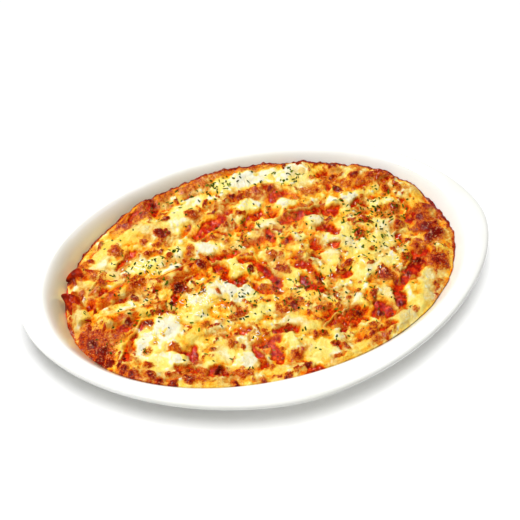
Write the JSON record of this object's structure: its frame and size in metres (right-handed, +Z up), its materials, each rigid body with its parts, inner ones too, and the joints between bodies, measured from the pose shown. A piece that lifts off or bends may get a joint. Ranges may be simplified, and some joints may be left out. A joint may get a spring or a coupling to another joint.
{
  "type": "baked pasta in a gratin dish",
  "caption": "Penne in meat sauce baked under browned melted cheese, in a white oval gratin dish with a broad flat rim",
  "frame": {"origin": "middle of the dish's flat base, on the surface it stands on", "axes": "+X along the dish, towards the end where the food reaches the wall; +Y across the dish, away from the viewer; +Z up"},
  "size_m": [0.265, 0.1876, 0.04],
  "materials": {
    "glaze": "glossy white glaze on stoneware",
    "cheese": "melted mozzarella, browned in blisters, moist and oily",
    "sauce": "tomato and meat sauce baked dark at the edge, wet",
    "pasta": "penne coated in sauce and toasted at the ends"
  },
  "bodies": {
    "root": {"gratin_dish": "glaze", "melted_cheese": "cheese", "pasta_in_sauce": "sauce", "penne_far_left": "pasta", "penne_left_end": "pasta", "penne_front_left": "pasta", "penne_red": "pasta", "penne_middle": "pasta"}
  },
  "joints": []
}
